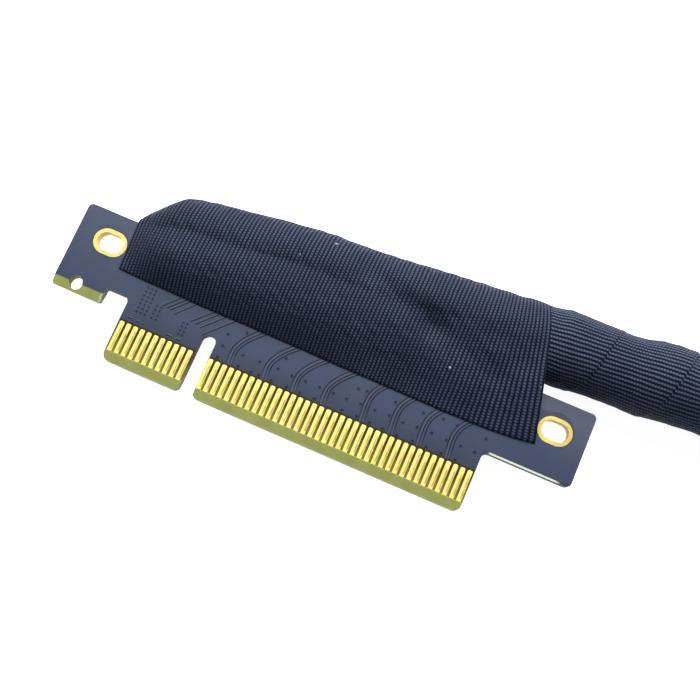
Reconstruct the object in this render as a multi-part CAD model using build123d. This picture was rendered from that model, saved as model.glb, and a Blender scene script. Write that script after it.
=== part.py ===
"""PCI Express x8 extension cable: a card-edge board, a taped round cable and an in-line slot connector.

Both ends share one frame: x runs along the contacts from contact 1, y from the card edge's tip towards
the cable, and z is up from the middle of the board. The card edge stays where it is drawn and the slot
end is moved to the far end of the cable. At the end everything is shifted so that the origin lies on
the surface that the object rests on, under the middle of the card edge with its wrap.
"""

import os
from math import atan2, cos, pi, radians, sin, tan

from build123d import *

# Card edge of a x8 card
PITCH = 1.0
CONTACTS_BEFORE_KEY = 11
CONTACTS_AFTER_KEY = 38
KEY_STEP = 3.0
CONTACT_WIDTH = 0.7
CONTACT_FOOT = 1.4
CONTACT_TOP = 5.7
CONTACT_CORNER = 0.25
COPPER = 0.04
KEY_NOTCH_WIDTH = 2.05
KEY_NOTCH_DEPTH = 8.6
KEY_SHIFT = 0.1
NOTCH_CORNER = 0.7
TONGUE_MARGIN = 0.57
TONGUE_CORNER = 1.0
BEVEL_LENGTH = 1.3
BEVEL_DEPTH = 0.45

# Board of the card edge, measured from contact 1 and the tip of the tongue
BOARD_THICKNESS = 1.57
MASK = 0.04
MASK_FOOT = 5.95
BOARD_TOP = 18.9
BOARD_WIDTH = 73.86
LEFT_REACH = 11.22
EAR_FOOT_RIGHT = 8.62
EAR_RIM = 0.28
EAR_FOOT_LEFT = 8.97
FOOT_WIDTH = 7.15
FOOT_TIP = 6.75
INNER_CORNER = 0.9
OUTER_CORNER = 0.7
FOOT_CORNER = 0.3
FOOT_HOLE_D = 1.9
FOOT_HOLE_X = -8.15
FOOT_HOLE_Y = 8.0

# Plated slots for the fixing screws, the same in both boards
SLOT_SPACING = 64.5
SLOT_LEFT_X = -6.3
SLOT_Y = 14.8
SLOT_LENGTH = 3.7
SLOT_WIDTH = 2.6
SLOT_RING = 0.5
SLOT_WALL = 0.06

# Wires soldered on each face, from the left: place along the board and the kind
SIGNAL_D = 0.75
POWER_D = 0.85
CONTROL_D = 0.6
WIRE_GAP = 0.02
FRONT_WIRES = [(3.0, "power"), (8.0, "power"), (15.5, "signal"), (20.5, "signal"), (24.5, "signal"),
               (28.5, "signal"), (34.5, "signal"), (38.5, "signal"), (42.5, "signal"), (46.5, "signal")]
REAR_WIRES = [(3.0, "power"), (8.5, "control"), (11.0, "clock"), (17.5, "signal"), (22.5, "signal"),
              (26.5, "signal"), (30.5, "signal"), (36.5, "signal"), (40.5, "signal"), (44.5, "signal"),
              (48.5, "signal")]
WIRE_DIAMETER = {"power": POWER_D, "control": CONTROL_D, "clock": SIGNAL_D, "signal": SIGNAL_D}
WIRE_BEND = 1.4
BUNDLE_TOP = 3.85
PAD_FOOT = 14.0
PAD_LENGTH = 2.0
PAD_OVERHANG = 0.15
WINDOW_MARGIN = 0.3
GLUE_FOOT = 13.9
GLUE_LENGTH = 3.2
GLUE_RISE = 1.05

# Bundle of wires under the tape, and the cable that it turns into
BUNDLE_START = (3.0, 20.25)
EXIT_ANGLE = 5.9
CABLE_START_X = 51.5
CABLE_D = 10.0
TAPE = 0.3
TAPE_FIT = 0.02
WRAP_COLLAR = 2.0
WRAP_EDGE = 0.8
SEAM_TILT = 10.0

# Wrap's sections from the left: x, y of its lower edge, middle and radius of the round part
WRAP_SECTIONS = [(-3.7, 12.0, 18.05, 1.13), (-1.9, 11.95, 20.1, 2.5), (1.0, 11.9, 21.0, 4.1),
                 (12.0, 11.85, 22.1, 4.65), (29.0, 11.8, 23.25, 5.0), (42.0, 11.8, 23.65, 5.1)]
WRAP_END_REACH = 13.1
WRAP_END_RADIUS = CABLE_D / 2 + TAPE

# Route of the cable's middle after its straight start, chosen by hand, with heights above the surface
CABLE_FIRST_RUN = 15.5
CABLE_LAST_RUN = 35.0
CABLE_REST = CABLE_D / 2 + 0.02
ROUTE = [(97.9, 28.0), (131.5, 10.3), (147.8, -24.0), (139.4, -61.1), (110.5, -85.6)]

# In-line slot connector on the far board
HOUSING_LENGTH = 56.0
HOUSING_WIDTH = 7.6
HOUSING_HEIGHT = 11.25
HOUSING_CORNER = 0.4
SOCKET_BOARD_FOOT = 7.0
SLOT_OPENING = 1.8
SLOT_DEPTH = 8.0
SLOT_END_GAP = 0.15
SLOT_LEAD_IN = 0.5
KEY_RIB = 1.6
CAVITY_WIDTH = 0.62
CAVITY_REACH = 2.35
CAVITY_LIP = 1.2
LUG_LENGTH = 2.2
LUG_WIDTH = 2.1
SPRING_WIDTH = 0.5
SPRING_THICKNESS = 0.2
SPRING_BOW = 0.82
TAIL_LENGTH = 2.0
TAIL_PAD_WIDTH = 0.6
TAIL_PAD_LENGTH = 2.5

# Frame of the finished part
ORIGIN_Y = 15.33

HALF = BOARD_THICKNESS / 2
FACE = HALF + MASK
KEY_X = (CONTACTS_BEFORE_KEY - 1) * PITCH + KEY_STEP / 2 + KEY_SHIFT
LAST_X = (CONTACTS_BEFORE_KEY + CONTACTS_AFTER_KEY - 2) * PITCH + KEY_STEP
TONGUE_LEFT = -TONGUE_MARGIN
TONGUE_RIGHT = LAST_X + TONGUE_MARGIN
BOARD_LEFT = -LEFT_REACH
BOARD_RIGHT = BOARD_WIDTH - LEFT_REACH
EXIT = Vector(cos(radians(EXIT_ANGLE)), sin(radians(EXIT_ANGLE)), 0)
ACROSS = Vector(-EXIT.Y, EXIT.X, 0)
CABLE_START = Vector(CABLE_START_X, BUNDLE_START[1] + (CABLE_START_X - BUNDLE_START[0]) * EXIT.Y / EXIT.X, 0)
SEAM = CABLE_START + EXIT * WRAP_COLLAR
MOUTH_Y = SOCKET_BOARD_FOOT - HOUSING_HEIGHT


def contact_places():
    """Middle of every contact along the board, on both sides of the key."""
    before = [i * PITCH for i in range(CONTACTS_BEFORE_KEY)]
    after = [before[-1] + KEY_STEP + i * PITCH for i in range(CONTACTS_AFTER_KEY)]
    return before + after


def block(x0, x1, y0, y1, z0, z1):
    """A box given by its limits, in either order."""
    return Pos((x0 + x1) / 2, (y0 + y1) / 2, (z0 + z1) / 2) * Box(abs(x1 - x0), abs(y1 - y0), abs(z1 - z0))


def plate(face, z0, z1):
    """A flat outline made solid between two heights."""
    return Pos(0, 0, z0) * extrude(face, z1 - z0)


def along_x(points, x0, x1):
    """A prism along x whose section is a list of (y, z) points."""
    section = make_face(Polyline(*[(x0, y, z) for y, z in points], close=True))
    return extrude(section, x1 - x0, dir=(1, 0, 0))


def rounded(corners):
    """A closed outline from (x, y, corner radius) points."""
    line = FilletPolyline(*[(x, y) for x, y, _ in corners], radius=[r for _, _, r in corners], close=True)
    return make_face(line)


def screw_slots(grow=0.0):
    """Outlines of the two fixing slots, wider all round by a given amount."""
    one = SlotOverall(SLOT_LENGTH + 2 * grow, SLOT_WIDTH + 2 * grow)
    return [Pos(SLOT_LEFT_X, SLOT_Y) * one, Pos(SLOT_LEFT_X + SLOT_SPACING, SLOT_Y) * one]


def key_notch():
    """Outline of the key notch in the tongue, with its round top."""
    shoulder = KEY_NOTCH_DEPTH - KEY_NOTCH_WIDTH / 2
    straight = Pos(KEY_X, (shoulder - 1) / 2) * Rectangle(KEY_NOTCH_WIDTH, shoulder + 1)
    return straight + Pos(KEY_X, shoulder) * Circle(KEY_NOTCH_WIDTH / 2)


def card_outline():
    """Outline of the card-edge board: ears, the foot on the left and the keyed tongue."""
    foot_right = BOARD_LEFT + FOOT_WIDTH
    outline = rounded([
        (BOARD_LEFT, FOOT_TIP, FOOT_CORNER), (foot_right, FOOT_TIP, FOOT_CORNER),
        (foot_right, EAR_FOOT_LEFT, FOOT_CORNER), (TONGUE_LEFT, EAR_FOOT_LEFT, INNER_CORNER),
        (TONGUE_LEFT, 0, TONGUE_CORNER), (TONGUE_RIGHT, 0, TONGUE_CORNER),
        (TONGUE_RIGHT, EAR_FOOT_RIGHT, INNER_CORNER), (BOARD_RIGHT, EAR_FOOT_RIGHT, OUTER_CORNER),
        (BOARD_RIGHT, BOARD_TOP, OUTER_CORNER), (BOARD_LEFT, BOARD_TOP, OUTER_CORNER)])
    notched = outline - key_notch()
    tips = [v for v in notched.vertices() if abs(v.Y) < 0.001 and abs(v.X - KEY_X) < KEY_NOTCH_WIDTH]
    return fillet(tips, NOTCH_CORNER) - Pos(FOOT_HOLE_X, FOOT_HOLE_Y) * Circle(FOOT_HOLE_D / 2)


def socket_outline():
    """Outline of the far board, which the slot connector straddles."""
    return rounded([
        (BOARD_LEFT, SOCKET_BOARD_FOOT, OUTER_CORNER), (BOARD_RIGHT, SOCKET_BOARD_FOOT, OUTER_CORNER),
        (BOARD_RIGHT, BOARD_TOP, OUTER_CORNER), (BOARD_LEFT, BOARD_TOP, OUTER_CORNER)])


def bevel(tip, x0, x1):
    """The two wedges that bevel an edge whose tip is at a given y."""
    slope = BEVEL_DEPTH / BEVEL_LENGTH
    low, high = tip - 1, tip + BEVEL_LENGTH + 1
    top = [(low, HALF - BEVEL_DEPTH - slope), (high, HALF + slope), (low, HALF + slope)]
    return [along_x(top, x0, x1), along_x([(y, -z) for y, z in top], x0, x1)]


def card_core():
    """Glass-fibre core of the card-edge board, bevelled at the tongue and the foot."""
    core = plate(card_outline() - screw_slots(SLOT_WALL), -HALF, HALF)
    foot_right = BOARD_LEFT + FOOT_WIDTH
    recess = (foot_right + TONGUE_LEFT) / 2
    return core - bevel(0, recess, TONGUE_RIGHT + 1) - bevel(FOOT_TIP, BOARD_LEFT - 1, recess)


def pads_window(wires):
    """Opening in the solder mask round the wire pads of one face."""
    x0, x1 = wires[0][0], wires[-1][0]
    return Pos((x0 + x1) / 2, PAD_FOOT + PAD_LENGTH / 2) * Rectangle(
        x1 - x0 + POWER_D + 2 * (PAD_OVERHANG + WINDOW_MARGIN), PAD_LENGTH + 2 * WINDOW_MARGIN)


def mask(outline, foot, wires):
    """Solder mask of one face above a given y, open at the slot rings and the wire pads."""
    keep = Pos((BOARD_LEFT + BOARD_RIGHT) / 2, (foot + BOARD_TOP) / 2) * Rectangle(
        BOARD_WIDTH, BOARD_TOP - foot)
    return plate(outline & keep - screw_slots(SLOT_RING) - pads_window(wires), HALF, FACE)


def card_mask(wires):
    """Mask of one face of the card edge, cut back from the bevelled foot and the right ear's edge."""
    foot_strip = block(BOARD_LEFT - 1, (BOARD_LEFT + FOOT_WIDTH + TONGUE_LEFT) / 2, 0,
                       FOOT_TIP + BEVEL_LENGTH, 0, 1 + FACE)
    ear_strip = block(TONGUE_RIGHT, BOARD_RIGHT + 1, 0, EAR_FOOT_RIGHT + EAR_RIM, 0, 1 + FACE)
    return mask(card_outline(), MASK_FOOT, wires) - foot_strip - ear_strip


def slot_plating(place):
    """Copper and gold lining of one screw slot with its ring on each face."""
    inside = screw_slots()[place]
    ring = screw_slots(SLOT_RING)[place] - inside
    lining = screw_slots(SLOT_WALL)[place] - inside
    return plate(ring, HALF, FACE) + plate(lining, -HALF, HALF) + plate(ring, -FACE, -HALF)


def row(shape):
    """One copy of a shape at every contact, as a group of separate solids."""
    return Compound(children=[Pos(x, 0, 0) * shape for x in contact_places()])


def edge_contact():
    """One gold contact of the card edge, with its two upper corners rounded."""
    flat = Pos(0, (CONTACT_FOOT + CONTACT_TOP) / 2) * Rectangle(CONTACT_WIDTH, CONTACT_TOP - CONTACT_FOOT)
    upper = flat.vertices().sort_by(Axis.Y)[-2:]
    return plate(fillet(upper, CONTACT_CORNER), HALF, HALF + COPPER)


def flipped(shape):
    """The same shape on the rear face."""
    return mirror(shape, about=Plane.XY)


def track_offsets(wires):
    """Distance of each wire's track from the middle of the bundle, the leftmost wire outermost."""
    widths = [WIRE_DIAMETER[kind] + WIRE_GAP for _, kind in wires]
    return [BUNDLE_TOP - sum(widths[:i]) - widths[i] / 2 for i in range(len(wires))]


def wire(x, kind, offset):
    """One wire that leaves its pad along y and turns into its track of the bundle."""
    radius = WIRE_DIAMETER[kind] / 2
    z = FACE + radius + WIRE_GAP / 2
    track = Vector(*BUNDLE_START, 0) + ACROSS * offset
    corner_y = track.Y + (x - track.X) * EXIT.Y / EXIT.X
    end = CABLE_START + ACROSS * offset
    route = FilletPolyline((x, PAD_FOOT + WINDOW_MARGIN, z), (x, corner_y, z), (end.X, end.Y, z),
                           radius=[WIRE_BEND])
    return sweep(Plane(route @ 0, z_dir=route % 0) * Circle(radius), path=route)


def wire_set(wires):
    """The wires of one face by kind."""
    made = {}
    for (x, kind), offset in zip(wires, track_offsets(wires)):
        made.setdefault(kind, []).append(wire(x, kind, offset))
    return made


def wire_pads(wires):
    """The pads that the wires of one face are soldered to."""
    pads = []
    for x, kind in wires:
        half = WIRE_DIAMETER[kind] / 2 + PAD_OVERHANG
        pads.append(block(x - half, x + half, PAD_FOOT, PAD_FOOT + PAD_LENGTH, HALF, FACE))
    return Compound(children=pads)


def glue(wires, made):
    """Bead of glue over the soldered ends of the wires of one face."""
    x0, x1 = wires[0][0] - 1.5, wires[-1][0] + 1.5
    arc = ThreePointArc((x0, GLUE_FOOT, FACE), (x0, GLUE_FOOT + GLUE_LENGTH / 2, FACE + GLUE_RISE),
                        (x0, GLUE_FOOT + GLUE_LENGTH, FACE))
    bead = extrude(make_face(arc + Line(arc @ 1, arc @ 0)), x1 - x0, dir=(1, 0, 0))
    return bead - [piece for kind in made.values() for piece in kind]


def wrap_section(middle, tilt, reach, radius, thin):
    """Outline of the wrap across the board: a round bundle that tapers to the tape on both faces.

    middle is the centre of the bundle, reach its distance from the wrap's lower edge, and thin how far
    the outline lies inside the outer one.
    """
    plane = Plane(middle, x_dir=(-sin(tilt), cos(tilt), 0), z_dir=(cos(tilt), sin(tilt), 0))
    tail = FACE + TAPE - thin
    r = radius - thin
    lean = atan2(tail, reach)
    touch = pi - lean - (pi / 2 - atan2(r, (reach ** 2 + tail ** 2 - r ** 2) ** 0.5))
    touch = (r * cos(touch), r * sin(touch))
    upper = Line((-reach, tail), touch)
    over = ThreePointArc(touch, (r, 0), (touch[0], -touch[1]))
    lower = Line((touch[0], -touch[1]), (-reach, -tail))
    end = Line((-reach, -tail), (-reach, tail))
    return plane * make_face(upper + over + lower + end)


def tape_wrap():
    """Cloth tape wound round the bundle and both faces of the board, open inside."""
    stations = [(Vector(x, y, 0), 0.0, y - low, radius) for x, low, y, radius in WRAP_SECTIONS]
    stations.append((SEAM, radians(SEAM_TILT), WRAP_END_REACH, WRAP_END_RADIUS))
    outer = loft([wrap_section(*station, 0) for station in stations], ruled=True)
    first = stations[0]
    inner = [(first[0] + Vector(WRAP_EDGE, 0, 0), *first[1:])] + stations[1:-1]
    inner.append((CABLE_START, radians(EXIT_ANGLE), WRAP_END_REACH, WRAP_END_RADIUS))
    hollow = loft([wrap_section(*station, TAPE) for station in inner], ruled=True)
    board = block(BOARD_LEFT, BOARD_RIGHT, 0, BOARD_TOP, -FACE, FACE)
    bore = Plane(CABLE_START, z_dir=EXIT) * Cylinder(
        CABLE_D / 2 + TAPE_FIT, 4 * WRAP_COLLAR, align=(Align.CENTER, Align.CENTER, Align.MIN))
    return outer - hollow - board - bore


def cable_route():
    """Corners of the cable's middle line and the arc radius at each of them."""
    low = CABLE_REST - WRAP_END_RADIUS
    middle = [Vector(x, y, low) for x, y in ROUTE[:-1]] + [Vector(*ROUTE[-1], 0)]
    corners = [CABLE_START, CABLE_START + EXIT * CABLE_FIRST_RUN] + middle
    corners.append(corners[-1] - EXIT * CABLE_LAST_RUN)
    radii = []
    for a, b, c in zip(corners, corners[1:], corners[2:]):
        turn = (b - a).get_angle(c - b)
        radii.append(0.45 * min((b - a).length, (c - b).length) / tan(radians(turn / 2)))
    return corners, radii


def cable():
    """The round taped cable between the two wraps, a plain tube."""
    corners, radii = cable_route()
    print("cable radii", [round(r, 1) for r in radii])
    path = FilletPolyline(*corners, radius=radii)
    tube = sweep(Plane(path @ 0, z_dir=path % 0) * Circle(CABLE_D / 2), path=path)
    print("cable length", round(path.length, 2), "volume over section",
          round(tube.volume / (pi * CABLE_D ** 2 / 4), 2))
    return tube


def ribbon(points, thickness):
    """Both sides of a bent strip that follows a list of points, as one closed outline."""
    left, right = [], []
    for i, (x, y) in enumerate(points):
        before = points[max(i - 1, 0)]
        after = points[min(i + 1, len(points) - 1)]
        a = atan2(y - before[1], x - before[0]) if i else atan2(after[1] - y, after[0] - x)
        b = atan2(after[1] - y, after[0] - x) if i < len(points) - 1 else a
        middle, reach = (a + b) / 2, thickness / 2 / cos((a - b) / 2)
        left.append((x - reach * sin(middle), y + reach * cos(middle)))
        right.append((x + reach * sin(middle), y - reach * cos(middle)))
    return left + right[::-1]


def spring_contact():
    """One sprung contact of the slot: a tail on the board, a stem and a bow that presses on a card."""
    tail_z = FACE + SPRING_THICKNESS / 2
    stem_z = CAVITY_REACH - SPRING_THICKNESS
    rear = SOCKET_BOARD_FOOT
    bow_y = MOUTH_Y + 3.0
    path = [(rear + TAIL_LENGTH, tail_z), (rear + 0.3, tail_z), (rear - 0.9, stem_z - 0.3),
            (rear - 4.0, stem_z), (bow_y, SPRING_BOW), (bow_y - 1.3, SPRING_BOW + 0.5)]
    return along_x(ribbon(path, SPRING_THICKNESS), -SPRING_WIDTH / 2, SPRING_WIDTH / 2)


def housing():
    """Moulded body of the slot: keyed slot, lead-in, a cavity for every contact and four lugs."""
    middle = (TONGUE_LEFT + TONGUE_RIGHT) / 2
    x0, x1 = middle - HOUSING_LENGTH / 2, middle + HOUSING_LENGTH / 2
    z = HOUSING_WIDTH / 2
    body = block(x0, x1, MOUTH_Y, SOCKET_BOARD_FOOT, -z, z)
    body = fillet(body.edges().filter_by(Axis.Y), HOUSING_CORNER)
    lugs = [block(a, a + LUG_LENGTH, SOCKET_BOARD_FOOT, SOCKET_BOARD_FOOT + TAIL_LENGTH, s * FACE,
                  s * (FACE + LUG_WIDTH)) for a in (x0, x1 - LUG_LENGTH) for s in (-1, 1)]
    half = SLOT_OPENING / 2
    s0, s1 = TONGUE_LEFT - SLOT_END_GAP, TONGUE_RIGHT + SLOT_END_GAP
    slot = block(s0, s1, MOUTH_Y - 1, MOUTH_Y + SLOT_DEPTH, -half, half)
    wide = half + SLOT_LEAD_IN + 1
    lead_in = along_x([(MOUTH_Y - 1, wide), (MOUTH_Y + SLOT_LEAD_IN, half),
                       (MOUTH_Y + SLOT_LEAD_IN, -half), (MOUTH_Y - 1, -wide)], s0, s1)
    rib = block(KEY_X - KEY_RIB / 2, KEY_X + KEY_RIB / 2, MOUTH_Y + SLOT_LEAD_IN, MOUTH_Y + SLOT_DEPTH,
                -half, half)
    cavity = [block(x - CAVITY_WIDTH / 2, x + CAVITY_WIDTH / 2, MOUTH_Y + CAVITY_LIP,
                    SOCKET_BOARD_FOOT + 1, s * (half - 0.05), s * CAVITY_REACH)
              for x in contact_places() for s in (-1, 1)]
    return (body + lugs) - (slot + lead_in - rib) - cavity


def tail_pad():
    """The pad under one contact tail of the slot."""
    return block(-TAIL_PAD_WIDTH / 2, TAIL_PAD_WIDTH / 2, SOCKET_BOARD_FOOT + 0.1,
                 SOCKET_BOARD_FOOT + TAIL_PAD_LENGTH, HALF, FACE)


def breakout(prefix, parts):
    """Pads, wires, glue and wrap of one end, under names that start with a prefix."""
    front, rear = wire_set(FRONT_WIRES), wire_set(REAR_WIRES)
    rear_made = {kind: [flipped(piece) for piece in pieces] for kind, pieces in rear.items()}
    parts[prefix + "wire_pads_front"] = wire_pads(FRONT_WIRES)
    parts[prefix + "wire_pads_rear"] = flipped(wire_pads(REAR_WIRES))
    parts[prefix + "glue_front"] = glue(FRONT_WIRES, front)
    parts[prefix + "glue_rear"] = flipped(glue(REAR_WIRES, rear))
    parts[prefix + "signal_pairs_front"] = Compound(children=front["signal"])
    parts[prefix + "signal_pairs_rear"] = Compound(children=rear_made["signal"])
    parts[prefix + "power_wires"] = Compound(children=front["power"] + rear_made["power"])
    parts[prefix + "clock_pair"] = rear_made["clock"][0]
    parts[prefix + "control_wire"] = rear_made["control"][0]
    parts[prefix + "tape_wrap"] = tape_wrap()


def card_end():
    """The end that plugs into a slot, by part name."""
    parts = {"edge_board": card_core()}
    parts["edge_mask_front"] = card_mask(FRONT_WIRES)
    parts["edge_mask_rear"] = flipped(card_mask(REAR_WIRES))
    parts["edge_contacts_front"] = row(edge_contact())
    parts["edge_contacts_rear"] = flipped(row(edge_contact()))
    parts["edge_slot_plating_left"] = slot_plating(0)
    parts["edge_slot_plating_right"] = slot_plating(1)
    breakout("edge_", parts)
    return parts


def socket_end():
    """The end that takes a card, by part name, drawn in the card edge's place."""
    outline = socket_outline()
    foot = SOCKET_BOARD_FOOT + TAIL_PAD_LENGTH + WINDOW_MARGIN
    parts = {"socket_board": plate(outline - screw_slots(SLOT_WALL), -HALF, HALF)}
    parts["socket_mask_front"] = mask(outline, foot, FRONT_WIRES)
    parts["socket_mask_rear"] = flipped(mask(outline, foot, REAR_WIRES))
    parts["socket_slot_plating_left"] = slot_plating(0)
    parts["socket_slot_plating_right"] = slot_plating(1)
    parts["socket_housing"] = housing()
    parts["socket_contacts_front"] = row(spring_contact())
    parts["socket_contacts_rear"] = flipped(row(spring_contact()))
    parts["socket_tail_pads"] = Compound(children=[
        side for x in contact_places() for side in (Pos(x, 0, 0) * tail_pad(),
                                                    flipped(Pos(x, 0, 0) * tail_pad()))])
    breakout("socket_", parts)
    return parts


def main():
    """Builds both ends and the cable, sets them in the part's frame and writes each piece."""
    corners, _ = cable_route()
    far = corners[-1] - CABLE_START
    parts = card_end()
    parts["cable"] = cable()
    parts.update({name: Pos(far.X, far.Y, 0) * shape for name, shape in socket_end().items()})
    to_frame = Pos(-(BOARD_LEFT + BOARD_RIGHT) / 2, -ORIGIN_Y, WRAP_END_RADIUS)
    os.makedirs("parts", exist_ok=True)
    for name, shape in parts.items():
        export_step(to_frame * shape, os.path.join("parts", name + ".step"))


main()
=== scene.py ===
"""PCI Express extension cable: printed tracks, cloth tape, taped cable, materials, floor, light and camera.

Places on a board are in millimetres in the board's own frame: x from contact 1 along the contacts, y from
the tip of the card edge towards the cable, z from the middle of the board. Both ends use the same frame,
and the slot end stands at another place.
"""

from math import pi, radians

import bpy
import numpy as np
from bpy.props import FloatProperty, FloatVectorProperty, PointerProperty
from mathutils import Euler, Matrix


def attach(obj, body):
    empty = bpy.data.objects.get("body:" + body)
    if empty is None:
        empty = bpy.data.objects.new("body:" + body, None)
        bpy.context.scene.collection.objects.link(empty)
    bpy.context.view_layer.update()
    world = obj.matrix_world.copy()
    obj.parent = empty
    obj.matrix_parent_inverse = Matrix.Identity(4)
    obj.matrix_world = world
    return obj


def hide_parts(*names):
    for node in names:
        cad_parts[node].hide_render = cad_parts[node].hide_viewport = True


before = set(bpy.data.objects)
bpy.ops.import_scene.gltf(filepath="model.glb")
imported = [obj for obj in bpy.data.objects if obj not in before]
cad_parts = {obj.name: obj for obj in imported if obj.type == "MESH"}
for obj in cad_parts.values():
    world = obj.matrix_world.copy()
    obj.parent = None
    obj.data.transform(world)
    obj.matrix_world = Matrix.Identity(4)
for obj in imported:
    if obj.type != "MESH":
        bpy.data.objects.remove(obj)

bl_info = {
    "name": "PCI Express Extension Cable",
    "version": (1, 0, 0),
    "blender": (4, 5, 0),
    "location": "View3D > Sidebar > Cable",
    "description": "Tape, tracks, materials and stage of a card-edge extension cable",
    "category": "Object",
}

# Places of the two ends, height of a masked face over the board's middle, and the tape's thickness, in
# millimetres
EDGE_END = (-25.71, -15.33, 5.3)
SOCKET_END = (-1.5246, -129.7897, 5.3)
FACE = 0.825
TAPE = 0.3

# The wrap's surface: sections, points round each, and how much of its edge's corner is cut, across and down
WRAP_RINGS = 240
WRAP_AROUND = 168
TAPE_CORNER = (0.1, 0.12)
# The cable's surface: steps along it where it is seen and further on, in metres, and points round it
NEAR_STEP = 0.00018
FAR_STEP = 0.0007
CABLE_AROUND = 128

# Route of the cable's middle line in the row frame, as in the part
ROUTE = [(25.79, 9.93, 5.3), (41.21, 11.53, 5.3), (72.19, 12.67, 5.02), (105.79, -5.03, 5.02),
         (122.09, -39.33, 5.02), (113.69, -76.43, 5.02), (84.79, -100.93, 5.3), (49.975, -104.53, 5.3)]
# Where the cable leaves the wrap, and the length from there that is made in fine steps
SEEN_LENGTH = 40.0
# Where along its pitch the first lap starts, and the part of the pitch that rises before a lap's edge
LAP_START = 0.88
LAP_EDGE = 0.98

# Wrap from its left edge: x, y of its lower edge, y of its outline at the top, radius of the bundle
WRAP = [(-3.95, 12.0, 19.7, 1.13), (-3.3, 11.95, 20.65, 1.6), (-2.0, 11.9, 22.0, 2.5),
        (-0.5, 11.85, 23.6, 3.5), (0.8, 11.8, 24.95, 4.1), (2.0, 11.8, 25.3, 4.2), (4.2, 11.75, 25.75, 4.3),
        (8.0, 11.65, 26.33, 4.5), (12.0, 11.62, 26.94, 4.65), (16.0, 11.65, 27.54, 4.75),
        (20.0, 11.6, 28.0, 4.85), (23.3, 11.6, 28.16, 4.9), (29.0, 11.5, 28.46, 5.0),
        (34.0, 11.48, 28.95, 5.05), (39.0, 11.45, 29.52, 5.1), (43.5, 11.4, 29.86, 5.15),
        (48.0, 11.48, 30.28, 5.15), (51.0, 11.8, 30.68, 5.15), (52.56, 12.2, 30.8, 5.15)]
# Turn of the section's plane at the seam, where along the wrap it begins, and turn at the left end
SEAM_TILT = 16.0
TILT_FROM = 40.0
LEFT_TILT = 3.0
# How far the tape stands out over the soldered wires and where across it, by place along the wrap
CROWN_AT = [-3.75, -2.0, 2.0, 22.0, 38.0, 53.5]
CROWN = [0.0, 0.5, 1.5, 1.5, 0.6, 0.3]
CROWN_POWER = [1.15, 1.15, 1.15, 1.15, 1.35, 1.35]
# Height of the outline over the bundle's middle, in radii, and the height of the cloth's waves
SILHOUETTE = 1.035
WRAP_WAVE = 0.05
# Dents in the taut cloth: both ends on the board, reach sideways and depth
DENTS = [((28.0, 24.2), (38.5, 20.6), 2.3, 0.75), ((38.5, 20.6), (48.5, 18.2), 2.5, 0.5),
         ((46.0, 22.5), (52.0, 20.5), 1.8, 0.2)]
# Swell of the cable above and below in the photograph, in millimetres, by length from its start
SWELL_AT = [0.0, 2.0, 3.5, 6.0, 8.0, 10.0, 12.0, 14.0, 16.0, 18.0, 20.0, 23.0, 27.0]
SWELL_TOP = [0.0, 0.15, 0.38, 0.2, -0.05, -0.22, -0.35, -0.25, 0.2, 0.38, 0.25, -0.1, 0.0]
SWELL_FOOT = [0.0, 0.05, 0.2, 0.1, 0.1, 0.15, 0.25, 0.38, 0.38, 0.25, 0.12, 0.0, 0.0]

# Tracks of the signal pairs: feet along the board, and the run from a foot to under the tape
FRONT_PAIRS = [15.4, 20.4, 24.6, 28.8, 34.4, 38.5, 42.5, 46.5]
REAR_PAIRS = [13.6, 17.4, 22.4, 26.6, 30.6, 36.4, 40.5, 44.5]
EARLY_RUN = [(0.05, 5.9), (-0.1, 7.1), (-0.1, 8.0), (0.12, 8.7), (0.5, 9.4), (1.0, 10.15), (1.85, 11.05),
             (3.2, 12.3)]
LATE_RUN = [(0.05, 5.9), (-0.08, 7.1), (-0.15, 8.0), (-0.18, 8.9), (-0.05, 9.7), (0.25, 10.4),
            (0.75, 11.15), (1.9, 12.4)]
LATE_FROM = 30.0
PAIR_HALF = 0.55
# Single tracks, from and to, half their width, how far a print rises, and points across one
SINGLE_RUNS = [[(4.0, 9.7), (6.5, 12.4)], [(4.6, 9.6), (7.3, 12.4)], [(5.1, 9.5), (7.85, 12.4)],
               [(5.85, 9.2), (8.8, 12.4)], [(8.25, 9.15), (11.4, 12.35)], [(9.0, 9.1), (12.15, 12.3)],
               [(9.8, 8.9), (13.1, 12.3)], [(10.4, 8.05), (14.45, 12.3)], [(0.4, 6.43), (1.0, 6.43)],
               [(1.6, 6.4), (2.0, 6.4)], [(2.5, 6.38), (2.75, 6.38)], [(6.05, 6.3), (6.85, 6.3)],
               [(7.55, 6.28), (8.15, 6.28)]]
SINGLE_HALF = 0.2
TRACK_RISE = 0.006
TRACK_ACROSS = 13
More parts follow.
